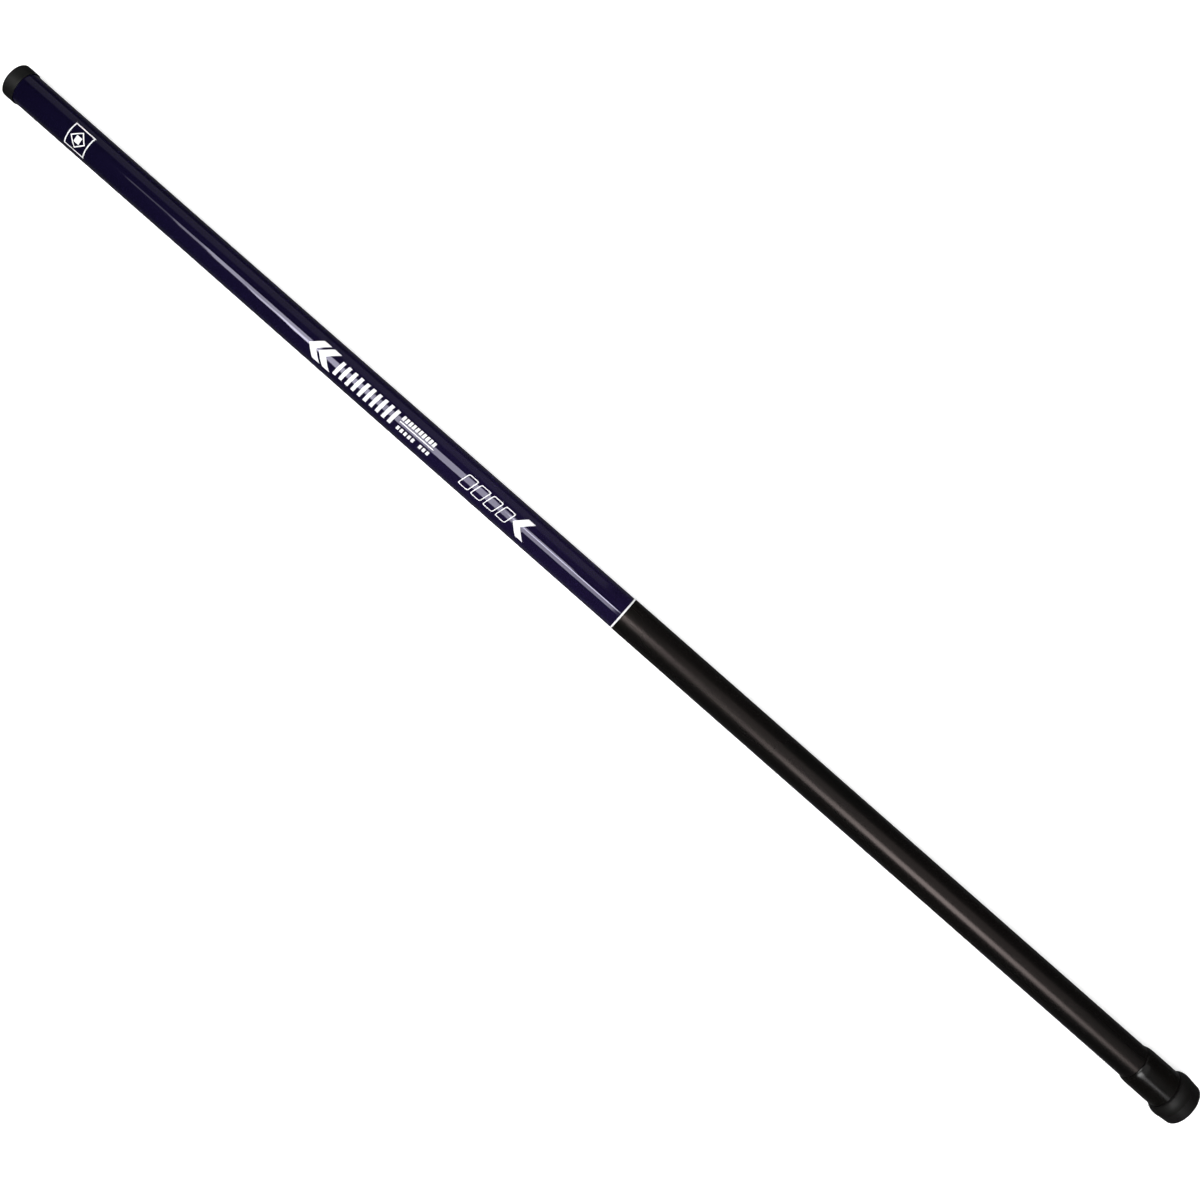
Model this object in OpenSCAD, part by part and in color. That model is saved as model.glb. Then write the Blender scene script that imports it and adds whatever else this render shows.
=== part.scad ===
// Telescopic whip fishing pole, collapsed: a tapered handle blank holds four nested sections,
// a screw-on butt cap closes the thick end and a push-on cap closes the mouth.
// The pole lies along X: the butt cap's end face is at x = 0 and the sections draw out toward +X.

/* [Handle] */
// Overall collapsed length, from the butt cap's end face to the tip cap's end face
pole_length = 1170; // [900:1:1500]
// Outer radius of the handle blank under the grip
blank_r = 14.11; // [11.7:0.01:17]
// Radius that the handle blank loses from the grip to its mouth
blank_draw = 0.86; // [0.4:0.01:1.1]
// Length of the parallel stretch of blank behind the mouth
blank_mouth_run = 158; // [60:1:300]
// Wall of the handle blank under the grip
blank_butt_wall = 1.61; // [1.1:0.01:1.63]
// Wall of the handle blank at its mouth
blank_wall = 1.53; // [1:0.01:2]
// Taper of the handle bore near its mouth, radius lost per length
blank_bore_taper = 0.0012; // [0.0008:0.0001:0.002]
// Length of the tapered bore behind the mouth
bore_run = 160; // [145:1:250]

/* [Grip] */
// Distance from the butt end to the front edge of the grip
grip_front = 560.8; // [300:0.1:700]
// Wall of the grip sleeve
grip_wall = 0.27; // [0.2:0.01:0.6]
// Width of the white trim ring in front of the grip
ring_width = 1.4; // [1:0.1:6]

/* [Butt collar] */
// Wall of the collar over the blank
collar_wall = 1.82; // [1.4:0.01:3]
// Length of blank that the collar is bonded over
collar_seat = 17.8; // [12:0.1:40]
// Length of the collar's rounded front edge
collar_lead = 6; // [2:0.5:10]
// Height of the collar's front lip above the grip
collar_lip = 0.3; // [0.1:0.05:0.8]
// Length of the threaded bush in the collar
bush_length = 11.4; // [9:0.1:14]
// Height of the bush's outer wall above the blank
bush_step = 0.52; // [0.3:0.01:0.9]
// Wall of the bush from its outside to the middle of the thread
bush_wall = 1.73; // [1.2:0.01:2]

/* [Butt cap] */
// Length of the hard cap ring
cap_ring_length = 9.5; // [7:0.1:16]
// Height of the cap ring above the collar
cap_bulge = 3; // [1:0.1:5]
// Height of the cap ring above the collar where the two meet
cap_neck_step = 0.3; // [0:0.05:0.8]
// Length of the rounded shoulder of the cap ring
cap_shoulder = 5.6; // [3:0.1:7]
// Radius that the cap ring loses from its widest place back to the end pad
cap_back_drop = 0.5; // [0.1:0.05:1.5]
// Thickness of the rubber end pad
pad_length = 8.6; // [6:0.1:14]
// Radius that the end pad loses toward its face
pad_draft = 0.9; // [0:0.05:2]
// Rounding of the end pad's edge
pad_round = 1.8; // [0.5:0.1:4]
// Wall of the threaded plug under the thread
plug_wall = 2.1; // [1.2:0.1:4]
// Thickness of the threaded plug's floor
plug_floor = 3.4; // [2:0.1:6]
// Distance from the plug's front edge to the blank
plug_setback = 1; // [0.5:0.1:3]
// Pitch of the cap thread
thread_pitch = 2; // [1.5:0.1:3]
// Half height of the round thread form
thread_half_height = 0.4; // [0.25:0.01:0.5]
// Radial clearance between the male and female threads
thread_clearance = 0.15; // [0.1:0.01:0.25]
// Thickness of the O-ring's cord
oring_cord = 1.7; // [1.2:0.1:2.1]
// Length of the foam cushion inside the plug
cushion_length = 7; // [3:0.5:12]
// Height of the foam cushion in front of the plug
cushion_proud = 0.8; // [0.4:0.1:1]

/* [Tip cap] */
// Side wall of the tip cap
tip_cap_wall = 0.67; // [0.4:0.01:3]
// Length of the tip cap
tip_cap_length = 10.5; // [8:0.5:30]
// End wall of the tip cap
tip_cap_end = 2.2; // [1.5:0.1:4]
// Thickness of the foam liner in the tip cap
tip_liner = 1.2; // [1:0.1:3]
// Wall of the thread winding at the handle's mouth
mouth_winding_wall = 0.16; // [0.1:0.01:0.5]

/* [Sections] */
// Distance from the handle's mouth back to section 2's mouth
section_setback = 32.4; // [20:0.1:60]
// Length lost from one section to the next
section_step = 10; // [5:1:20]
// Length of each section's ground base that grips in its parent's mouth
grip_zone = 110; // [80:1:140]
// Radial running clearance between a ground base and its parent's mouth
fit = 0.05; // [0.02:0.01:0.1]
// Gap between the foam cushion and the base of section 2
nest_gap = 2.7; // [0.5:0.1:10]
// Distance by which each section's base stands in front of its parent's base
nest_step = 1; // [0.5:0.1:3]
// Thickness of the ground wrap on each section's base
wrap_wall = 0.3; // [0.15:0.01:0.5]
// Width of the thread winding at each section's mouth
winding_width = 14; // [6:0.5:25]
// Wall of the thread winding at each section's mouth
winding_wall = 0.25; // [0.15:0.01:0.4]

/* [Line connector] */
// Outer radius of the top section's tip
tip_r = 1.2; // [1:0.05:1.6]
// Length of the connector's socket on the tip
socket_length = 14; // [8:0.5:20]
// Wall of the connector's socket
socket_wall = 0.8; // [0.6:0.05:1.2]
// Radius of the connector's stem
stem_r = 1.3; // [1.1:0.05:1.6]
// Length of the sliding sleeve that locks the line loop
sleeve_length = 8; // [6:0.1:12]
// Wall of the sliding sleeve
sleeve_wall = 0.85; // [0.5:0.05:1.2]
// Travel of the sliding sleeve
sleeve_travel = 5.5; // [4.5:0.1:8]

/* [Hidden] */

round_fn = 96;
thread_sides = 40;
thread_steps = 8;

// Handle: the mouth stands just behind the foam liner of the tip cap
mouth_gap = 0.2;
handle_mouth = pole_length - tip_cap_end - tip_liner - mouth_gap;
blank_mouth_r = blank_r - blank_draw;
blank_bore_r = blank_r - blank_butt_wall;
mouth_bore_r = blank_mouth_r - blank_wall;
grip_r = blank_r + grip_wall;
trim_front = grip_front + ring_width;

// Butt cap: pad, ring, collar and bush follow one another from the butt end
cap_front = pad_length + cap_ring_length;
seal_gap = 0.05;
seal_seat = oring_cord + 6 * seal_gap;
bush_rear = cap_front + seal_seat;
bush_front = bush_rear + bush_length;
collar_front = bush_front + collar_seat;
collar_r = blank_r + collar_wall;
collar_lip_r = grip_r + collar_lip;
collar_break = 0.4;
bush_r = blank_r + bush_step;
cap_neck_r = collar_r + cap_neck_step;
cap_ring_r = collar_r + cap_bulge;
cap_seam_r = cap_ring_r - cap_back_drop;
cap_crown = cap_front - cap_shoulder;
plug_front = bush_front - plug_setback;
thread_mean_r = bush_r - bush_wall - thread_clearance / 2;
thread_root_r = thread_mean_r - thread_half_height;
seal_r = thread_root_r + oring_cord + 2 * seal_gap;
plug_bore_r = thread_root_r - plug_wall;
cushion_r = plug_bore_r * cos(180 / thread_sides) - seal_gap / 2;
plug_chamfer = 0.5;

// Tip cap: the bore clears the winding on the mouth
tip_cap_bore_r = blank_mouth_r + mouth_winding_wall + fit;
tip_cap_r = tip_cap_bore_r + tip_cap_wall;
tip_cap_rear = pole_length - tip_cap_length;
tip_cap_edge = 1.2;
winding_seat = 6;

// Sections 2 to 5 are numbers 0 to 3: walls at the mouth and at the base, and the share of the
// holding tube's bore that each mouth's outer radius takes
section_wall = [1.0, 0.9, 0.8, 0.7];
base_wall = [1.05, 0.83, 0.71, 0.89];
mouth_share = [0.819, 0.802, 0.75];
nest_start = plug_front + cushion_proud + nest_gap;
section_length = handle_mouth - section_setback - nest_start;
function len_of(i) = section_length - section_step * i;
function base_of(i) = nest_start + nest_step * i;
function mouth_of(i) = base_of(i) + len_of(i);
// Bore and taper of the tube that section i is held in
function host_bore(i) = i == 0 ? mouth_bore_r : bore_of(i - 1);
function host_taper(i) = i == 0 ? blank_bore_taper : bore_taper(i - 1);
function mouth_r(i) = i == 3 ? tip_r : host_bore(i) * mouth_share[i];
function bore_of(i) = mouth_r(i) - section_wall[i];
// Outer radius of section i's ground base at distance d from its rear end
function ground_r(i, d) = host_bore(i) - fit + host_taper(i) * (grip_zone - d);
function base_bore(i) = ground_r(i, 0) - wrap_wall - base_wall[i];
function bore_taper(i) = (base_bore(i) - bore_of(i)) / len_of(i);
// Outer radius of section i's blank in front of the ground base, and at distance d from its mouth
function front_r(i) = ground_r(i, grip_zone) - wrap_wall;
function blank_r_at(i, d) = mouth_r(i) + (front_r(i) - mouth_r(i)) * d / (len_of(i) - grip_zone);

// Line connector
tip_end = mouth_of(3);
socket_r = tip_r + socket_wall;
sleeve_slack = 0.2;
stem_start = tip_end + 2;
stem_end = stem_start + sleeve_length + sleeve_travel + 2 * sleeve_slack;
bulb_start = stem_end + 0.6;
notch_width = 2;
notch_start = stem_end - sleeve_slack - sleeve_travel + 0.8;

// Points along an arc from angle a0 to a1
function arc(cx, cy, rx, ry, a0, a1, n) =
  [for (k = [0:n]) let (a = a0 + (a1 - a0) * k / n) [cx + rx * cos(a), cy + ry * sin(a)]];

// A turned body on the X axis, from an outline of [radius, x] points
module turned(outline) {
  rotate([0, 90, 0]) rotate_extrude($fn = round_fn) polygon(outline);
}

// A plain tube on the X axis
module tube(x0, x1, outer_r, inner_r) {
  turned([[inner_r, x0], [outer_r, x0], [outer_r, x1], [inner_r, x1]]);
}

// A solid of revolution whose radius may vary round the axis: rings holds [x, mean radius, ripple],
// and the ripple follows a right-hand helix. A closed loop of rings makes a tube, an open one a solid.
function ring_radius(ring, angle) =
  ring[1] + ring[2] * sin(360 * ring[0] / thread_pitch - angle);
function ring_points(rings) =
  [for (ring = rings) for (k = [0:thread_sides - 1])
    let (a = 360 * k / thread_sides, r = ring_radius(ring, a)) [ring[0], r * cos(a), r * sin(a)]];
function ring_walls(count, last) =
  [for (j = [0:last]) for (k = [0:thread_sides - 1])
    let (m = (k + 1) % thread_sides, near = j * thread_sides, far = ((j + 1) % count) * thread_sides)
    each [[near + k, far + k, far + m], [near + k, far + m, near + m]]];
function disc_faces(start, centre, flip) =
  [for (k = [0:thread_sides - 1]) let (m = (k + 1) % thread_sides)
    flip ? [centre, start + m, start + k] : [centre, start + k, start + m]];

module helical_tube(rings) {
  n = len(rings);
  polyhedron(points = ring_points(rings), faces = ring_walls(n, n - 1), convexity = 8);
}

module helical_cup(rings) {
  n = len(rings);
  points = concat(ring_points(rings), [[rings[0][0], 0, 0], [rings[n - 1][0], 0, 0]]);
  faces = concat(ring_walls(n, n - 2), disc_faces(0, n * thread_sides, false),
    disc_faces((n - 1) * thread_sides, n * thread_sides + 1, true));
  polyhedron(points = points, faces = faces, convexity = 8);
}

// Handle blank: parallel under the grip, tapered in front of it and parallel again to the mouth
module handle_blank() {
  taper_end = handle_mouth - blank_mouth_run;
  color([0.10, 0.08, 0.22]) turned([
    [blank_bore_r, bush_front], [blank_r, bush_front], [blank_r, trim_front],
    [blank_mouth_r, taper_end], [blank_mouth_r, handle_mouth], [mouth_bore_r, handle_mouth],
    [mouth_bore_r + blank_bore_taper * bore_run, handle_mouth - bore_run], [blank_bore_r, trim_front]
  ]);
}

// Shrunk anti-slip sleeve over the rear half of the blank
module grip_sleeve() {
  color([0.07, 0.07, 0.07]) tube(collar_front, grip_front, grip_r, blank_r);
}

// White band that finishes the front of the grip, flush with the sleeve
module trim_ring() {
  color("white") tube(grip_front, trim_front, grip_r, blank_r);
}

// Ferrule bonded over the blank's rear end; it holds the threaded bush behind the blank
module butt_collar() {
  // The bore widens behind the bush when the O-ring needs more room than the bush's seat leaves
  seat = seal_r > bush_r ? [[bush_r, bush_rear], [seal_r, bush_rear], [seal_r, cap_front]]
    : [[bush_r, cap_front]];
  color([0.09, 0.09, 0.09]) turned(concat(
    seat, [[collar_r - collar_break, cap_front], [collar_r, cap_front + collar_break]],
    arc(collar_lip_r, collar_front - collar_lead, collar_r - collar_lip_r, collar_lead, 0, 90, 6),
    [[blank_r, collar_front], [blank_r, bush_front], [bush_r, bush_front]]
  ));
}

// Internally threaded bush that the butt cap screws into
module collar_bush() {
  steps = floor(bush_length * thread_steps / thread_pitch);
  mean_r = thread_mean_r + thread_clearance;
  color([0.16, 0.16, 0.17]) helical_tube(concat(
    [[bush_rear, bush_r, 0], [bush_front, bush_r, 0]],
    [for (k = [steps:-1:0]) [bush_rear + bush_length * k / steps, mean_r, thread_half_height]]
  ));
}

// Winding that stiffens the blank's mouth inside the tip cap
module mouth_winding() {
  color([0.12, 0.12, 0.12])
    tube(handle_mouth - winding_seat, handle_mouth, blank_mouth_r + mouth_winding_wall, blank_mouth_r);
}

// Male plug of the butt cap: the thread fades into the root over one pitch at each end
function fade(x, x0, x1) = max(0, min(1, min(x - x0, x1 - x) / thread_pitch));
function male_ring(x, x0, x1) =
  let (h = thread_half_height * fade(x, x0, x1)) [x, thread_root_r + h, h];

module cap_plug() {
  x0 = bush_rear + plug_chamfer;
  x1 = plug_front - plug_chamfer;
  floor_x = pad_length + plug_floor;
  steps = floor((x1 - x0) * thread_steps / thread_pitch);
  color([0.10, 0.10, 0.10]) helical_cup(concat(
    [[pad_length, thread_root_r, 0]],
    [for (k = [0:steps]) male_ring(x0 + (x1 - x0) * k / steps, x0, x1)],
    [[plug_front, thread_root_r - plug_chamfer, 0], [plug_front, plug_bore_r, 0], [floor_x, plug_bore_r, 0]]
  ));
}

// Hard ring of the butt cap: crowned toward the pad, with a rounded shoulder toward the collar
module cap_ring() {
  bulge = cap_ring_r - cap_neck_r;
  rise = cap_crown - pad_length;
  color([0.08, 0.08, 0.08]) turned(concat(
    [[thread_root_r, pad_length]],
    [for (k = [0:5]) let (u = 1 - k / 6) [cap_ring_r - cap_back_drop * u * u, cap_crown - rise * u]],
    arc(cap_neck_r, cap_crown, bulge, cap_shoulder, 0, 90, 8),
    [[thread_root_r, cap_front]]
  ));
}

// Rubber pad on the end of the butt cap
module end_pad() {
  edge_r = cap_seam_r - pad_draft - pad_round;
  color([0.05, 0.05, 0.05]) turned(concat(
    [[0, 0]],
    arc(edge_r, pad_round, pad_round, pad_round, -90, -8, 8),
    [[cap_seam_r, pad_length], [0, pad_length]]
  ));
}

// Foam cushion in the plug that the section bases rest on
module cushion_disc() {
  front = plug_front + cushion_proud;
  rear = front - cushion_length;
  color([0.25, 0.25, 0.25]) turned([[0, rear], [cushion_r, rear], [cushion_r, plug_front],
    [cushion_r - cushion_proud, front], [0, front]]);
}

// O-ring in the seat behind the bush
module o_ring() {
  cord_r = oring_cord / 2;
  color([0.03, 0.03, 0.03])
    translate([cap_front + seal_gap + cord_r, 0, 0]) rotate([0, 90, 0]) rotate_extrude($fn = round_fn)
      translate([thread_root_r + seal_gap + cord_r, 0]) circle(r = cord_r, $fn = 48);
}

// Push-on cap over the mouth
module tip_cap_shell() {
  inner_end = pole_length - tip_cap_end;
  color([0.06, 0.06, 0.06]) turned(concat(
    [[0, inner_end], [tip_cap_bore_r, inner_end], [tip_cap_bore_r, tip_cap_rear + 0.5],
      [tip_cap_bore_r + 0.15, tip_cap_rear], [tip_cap_r, tip_cap_rear]],
    arc(tip_cap_r - tip_cap_edge, pole_length - tip_cap_edge, tip_cap_edge, tip_cap_edge, 0, 90, 6),
    [[0, pole_length]]
  ));
}

// Foam liner bonded inside the tip cap's end wall
module tip_cap_liner() {
  inner_end = pole_length - tip_cap_end;
  color([0.3, 0.3, 0.3])
    turned([[0, inner_end - tip_liner], [tip_cap_bore_r - 0.3, inner_end - tip_liner],
      [tip_cap_bore_r - 0.3, inner_end], [0, inner_end]]);
}

// Blank of section i: rebated under its ground wrap, then tapering to the mouth
module section_blank(i) {
  base = base_of(i);
  mouth = mouth_of(i);
  turned([
    [base_bore(i), base], [ground_r(i, 0) - wrap_wall, base], [front_r(i), base + grip_zone],
    [mouth_r(i), mouth], [bore_of(i), mouth]
  ]);
}

// Ground wrap on section i's base, tapered like the bore of the tube that holds it
module base_wrap(i) {
  base = base_of(i);
  turned([
    [ground_r(i, 0) - wrap_wall, base], [ground_r(i, 0), base],
    [ground_r(i, grip_zone), base + grip_zone], [front_r(i), base + grip_zone]
  ]);
}

// Thread winding round section i's mouth, with rounded shoulders
module winding(i) {
  mouth = mouth_of(i);
  edge = 0.4;
  ramp = 1;
  rear = mouth - winding_width;
  top_r = mouth_r(i) + winding_wall;
  turned([
    [blank_r_at(i, winding_width), rear], [blank_r_at(i, winding_width - ramp) + winding_wall, rear + ramp],
    [top_r, mouth - edge], [top_r - edge / 4, mouth], [mouth_r(i), mouth]
  ]);
}

module inner_section_blank(i) {
  color([0.14, 0.14, 0.16]) section_blank(i);
}

module inner_section_wrap(i) {
  color([0.22, 0.22, 0.24]) base_wrap(i);
}

module inner_section_winding(i) {
  color([0.10, 0.09, 0.25]) winding(i);
}

// Connector glued over the tip: socket, notched stem for the line loop and end bulb
module line_connector() {
  color([0.1, 0.1, 0.1]) difference() {
    turned([
      [blank_r_at(3, socket_length), tip_end - socket_length], [socket_r, tip_end - socket_length],
      [socket_r, stem_start],
      [stem_r, stem_start], [stem_r, stem_end], [socket_r, bulb_start], [socket_r, bulb_start + 1.4],
      [socket_r - 0.8, bulb_start + 2.4], [0, bulb_start + 2.4], [0, tip_end], [tip_r, tip_end]
    ]);
    translate([notch_start, -socket_r, 0]) cube([notch_width, 2 * socket_r, 2 * socket_r]);
  }
}

// Sleeve that slides over the notch and locks the line
module connector_sleeve() {
  front = stem_end - sleeve_slack;
  rear = front - sleeve_length;
  inner_r = stem_r + fit;
  outer_r = inner_r + sleeve_wall;
  color([0.75, 0.75, 0.78]) turned([
    [inner_r, rear], [outer_r - 0.3, rear], [outer_r, rear + 0.5], [outer_r, front - 0.5],
    [outer_r - 0.3, front], [inner_r, front]
  ]);
}

handle_blank();
grip_sleeve();
trim_ring();
butt_collar();
collar_bush();
mouth_winding();
cap_plug();
cap_ring();
end_pad();
cushion_disc();
o_ring();
tip_cap_shell();
tip_cap_liner();
inner_section_blank(0);  // section_2_blank
inner_section_wrap(0);  // section_2_base_wrap
inner_section_winding(0);  // section_2_winding
inner_section_blank(1);  // section_3_blank
inner_section_wrap(1);  // section_3_base_wrap
inner_section_winding(1);  // section_3_winding
inner_section_blank(2);  // section_4_blank
inner_section_wrap(2);  // section_4_base_wrap
inner_section_winding(2);  // section_4_winding
inner_section_blank(3);  // tip_blank
inner_section_wrap(3);  // tip_base_wrap
line_connector();
connector_sleeve();
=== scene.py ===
"""Looks of a collapsed telescopic fishing pole that lies on a pale floor with its tip to the upper left."""
import logging
import math
from dataclasses import dataclass
from enum import Enum
from typing import Any, Callable, Iterable, Optional, Sequence, Union

import bpy
import numpy as np
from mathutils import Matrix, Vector


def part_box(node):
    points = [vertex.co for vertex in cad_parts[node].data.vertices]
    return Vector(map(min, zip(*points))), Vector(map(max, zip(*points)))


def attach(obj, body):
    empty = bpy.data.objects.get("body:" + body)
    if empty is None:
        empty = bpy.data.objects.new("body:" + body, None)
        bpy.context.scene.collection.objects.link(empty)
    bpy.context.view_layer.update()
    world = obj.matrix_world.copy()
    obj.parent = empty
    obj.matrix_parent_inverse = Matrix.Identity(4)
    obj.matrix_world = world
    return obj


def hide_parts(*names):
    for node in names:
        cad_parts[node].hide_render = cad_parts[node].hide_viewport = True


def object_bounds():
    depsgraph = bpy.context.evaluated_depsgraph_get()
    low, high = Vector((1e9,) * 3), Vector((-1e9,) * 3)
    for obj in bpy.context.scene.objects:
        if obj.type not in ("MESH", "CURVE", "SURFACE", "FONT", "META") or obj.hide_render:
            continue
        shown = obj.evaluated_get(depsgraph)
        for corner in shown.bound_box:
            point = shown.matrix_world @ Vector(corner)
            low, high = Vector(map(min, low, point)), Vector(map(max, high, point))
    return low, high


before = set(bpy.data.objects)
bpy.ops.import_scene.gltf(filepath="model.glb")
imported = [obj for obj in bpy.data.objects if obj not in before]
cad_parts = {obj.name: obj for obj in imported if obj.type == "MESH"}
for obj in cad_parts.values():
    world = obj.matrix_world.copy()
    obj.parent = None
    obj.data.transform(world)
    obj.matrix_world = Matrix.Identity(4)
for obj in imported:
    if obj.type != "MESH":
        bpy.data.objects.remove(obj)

CAD_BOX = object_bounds()
MM = 0.001
SEGMENTS = 128
SHARP_ANGLE = math.radians(38)

log = logging.getLogger("fishing_pole")


# ---------------------------------------------------------------- outlines and surfaces

Outline = np.ndarray


def outline(*points: tuple[float, float]) -> Outline:
    """An outline of (x, radius) points: up the rear face, forward outside, down the front, back inside."""
    return np.array(points, float)


def rounded(points: Outline, radii: Sequence[float], steps: int = 6) -> Outline:
    """Rounds the corners of a closed outline with arcs.

    Each corner gives way to an arc tangent to its two sides, with one support point just before it and
    one just after, so that smooth shading stays on the flats.

    Args:
        points: the outline's corners.
        radii: the arc's radius at each corner, 0 for a sharp one.
        steps: points along each arc, less one.

    Returns:
        The outline with its arcs.
    """
    count = len(points)
    out: list[np.ndarray] = []
    for i, corner in enumerate(points):
        to_last = points[i - 1] - corner
        to_next = points[(i + 1) % count] - corner
        if radii[i] <= 0:
            out.append(corner[None])
            continue
        a = to_last / np.linalg.norm(to_last)
        b = to_next / np.linalg.norm(to_next)
        half = math.acos(float(np.clip(a @ b, -1, 1))) / 2
        reach = radii[i] / math.tan(half)
        bisector = (a + b) / np.linalg.norm(a + b)
        centre = corner + bisector * radii[i] / math.sin(half)
        start, end = corner + a * reach, corner + b * reach
        share = np.linspace(0, 1, steps + 1)[:, None]
        spokes = (1 - share) * (start - centre) + share * (end - centre)
        arc = centre + spokes / np.linalg.norm(spokes, axis=1, keepdims=True) * radii[i]
        support = 0.35 * radii[i]
        out.append(np.vstack([start + a * support, arc, end + b * support]))
    return np.vstack(out)


def resampled(points: Outline, longest: float) -> Outline:
    """Adds points to an outline so that no straight stretch is longer than a given length."""
    following = np.roll(points, -1, axis=0)
    gaps = np.linalg.norm(following - points, axis=1)
    parts = np.maximum(1, np.ceil(gaps / longest)).astype(int)
    parts[-1] = 1 if points[0, 1] == 0 else parts[-1]
    starts = np.repeat(np.arange(len(points)), parts)
    offset = np.arange(len(starts)) - np.repeat(np.cumsum(parts) - parts, parts)
    share = (offset / np.repeat(parts, parts))[:, None]
    return points[starts] * (1 - share) + following[starts] * share


def make_object(name: str, points: np.ndarray, quads: np.ndarray, triangles: Optional[np.ndarray] = None
                ) -> bpy.types.Object:
    """Puts arrays of points and faces into a new smooth-shaded object at the origin.

    Args:
        name: the piece's name.
        points: (n, 3) places in metres, in the frame.
        quads: (m, 4) indices.
        triangles: (k, 3) indices, or None.

    Returns:
        The linked object.
    """
    triangles = np.zeros((0, 3), int) if triangles is None else triangles
    mesh = bpy.data.meshes.new(name)
    corners = np.concatenate([quads.ravel(), triangles.ravel()]).astype(np.int32)
    starts = np.concatenate([np.arange(len(quads)) * 4, len(quads) * 4 + np.arange(len(triangles)) * 3])
    mesh.vertices.add(len(points))
    mesh.vertices.foreach_set("co", points.astype(np.float32).ravel())
    mesh.loops.add(len(corners))
    mesh.loops.foreach_set("vertex_index", corners)
    mesh.polygons.add(len(starts))
    mesh.polygons.foreach_set("loop_start", starts.astype(np.int32))
    mesh.update(calc_edges=True)
    mesh.validate()
    mesh.polygons.foreach_set("use_smooth", np.ones(len(mesh.polygons), bool))
    mesh.set_sharp_from_angle(angle=SHARP_ANGLE)
    piece = bpy.data.objects.new(name, mesh)
    bpy.context.scene.collection.objects.link(piece)
    return piece


def ring_quads(rings: int, sides: int, closed: bool) -> np.ndarray:
    """Quads between neighbouring rings of a grid that wraps round.

    Args:
        rings: number of rings.
        sides: points in a ring.
        closed: whether quads also join the last ring to the first.

    Returns:
        The quads.
    """
    i = np.arange(rings if closed else rings - 1)[:, None]
    k = np.arange(sides)[None, :]
    near, far = i * sides, ((i + 1) % rings) * sides
    after = (k + 1) % sides
    return np.stack(np.broadcast_arrays(near + k, near + after, far + after, far + k), axis=-1).reshape(-1, 4)


RadiusRule = Callable[[np.ndarray, np.ndarray, np.ndarray], np.ndarray]


def turned(name: str, points: Outline, rule: Optional[RadiusRule] = None, sides: int = SEGMENTS
           ) -> bpy.types.Object:
    """Turns an outline about X.

    A point (x, r) at angle a stands at (x, R cos a, R sin a), where R is r, or what the rule makes of x,
    r and a. An outline whose first and last points lie on the axis closes there in fans.

    Args:
        name: the piece's name.
        points: the outline.
        rule: gives the radius for arrays of x, r and angle, or None.
        sides: points round the axis.

    Returns:
        The new object.
    """
    solid = points[0, 1] == 0
    rings = points[1:-1] if solid else points
    angle = np.linspace(0, 2 * np.pi, sides, endpoint=False)[None, :]
    x, r = rings[:, :1] + 0 * angle, rings[:, 1:] + 0 * angle
    radius = r if rule is None else rule(x, r, angle + 0 * x)
    grid = np.stack([x, radius * np.cos(angle), radius * np.sin(angle)], axis=-1).reshape(-1, 3) * MM
    quads = ring_quads(len(rings), sides, not solid)
    if not solid:
        return make_object(name, grid, quads)
    ends = np.array([[points[0, 0], 0, 0], [points[-1, 0], 0, 0]]) * MM
    k = np.arange(sides)
    after = (k + 1) % sides
    first, last, top = len(grid), len(grid) + 1, (len(rings) - 1) * sides
    fans = np.vstack([np.stack([first + 0 * k, after, k], 1),
                      np.stack([last + 0 * k, top + k, top + after], 1)])
    return make_object(name, np.vstack([grid, ends]), quads, fans)


# ---------------------------------------------------------------- shader expressions

Operand = Union["Value", float]


class Value:
    """A number's socket in a material, on which Python's operators add Math nodes."""

    def __init__(self, graph: "Graph", socket: bpy.types.NodeSocket) -> None:
        """Wraps a socket of a graph."""
        self.graph, self.socket = graph, socket

    def _math(self, operation: str, *operands: Operand) -> "Value":
        """Adds one Math node on these operands."""
        made = self.graph.node("ShaderNodeMath", {"operation": operation}, dict(enumerate(operands)))
        return Value(self.graph, made.outputs[0])

    def __add__(self, other: Operand) -> "Value":
        """Sum."""
        return self._math("ADD", self, other)

    __radd__ = __add__

    def __sub__(self, other: Operand) -> "Value":
        """Difference."""
        return self._math("SUBTRACT", self, other)

    def __rsub__(self, other: Operand) -> "Value":
        """Reflected difference."""
        return self._math("SUBTRACT", other, self)

    def __mul__(self, other: Operand) -> "Value":
        """Product."""
        return self._math("MULTIPLY", self, other)

    __rmul__ = __mul__

    def sine(self) -> "Value":
        """Sine of an angle in radians."""
        return self._math("SINE", self)

    def absolute(self) -> "Value":
        """Size without sign."""
        return self._math("ABSOLUTE", self)

    def angle_from(self, other: "Value") -> "Value":
        """Angle of the point (other, self), in radians."""
        return self._math("ARCTAN2", self, other)

    def ramp(self, low: float, high: float, start: float = 0.0, end: float = 1.0) -> "Value":
        """Maps low..high to start..end, held level outside."""
        made = self.graph.node("ShaderNodeMapRange", {"clamp": True},
                               {0: self, 1: low, 2: high, 3: start, 4: end})
        return Value(self.graph, made.outputs[0])


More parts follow.
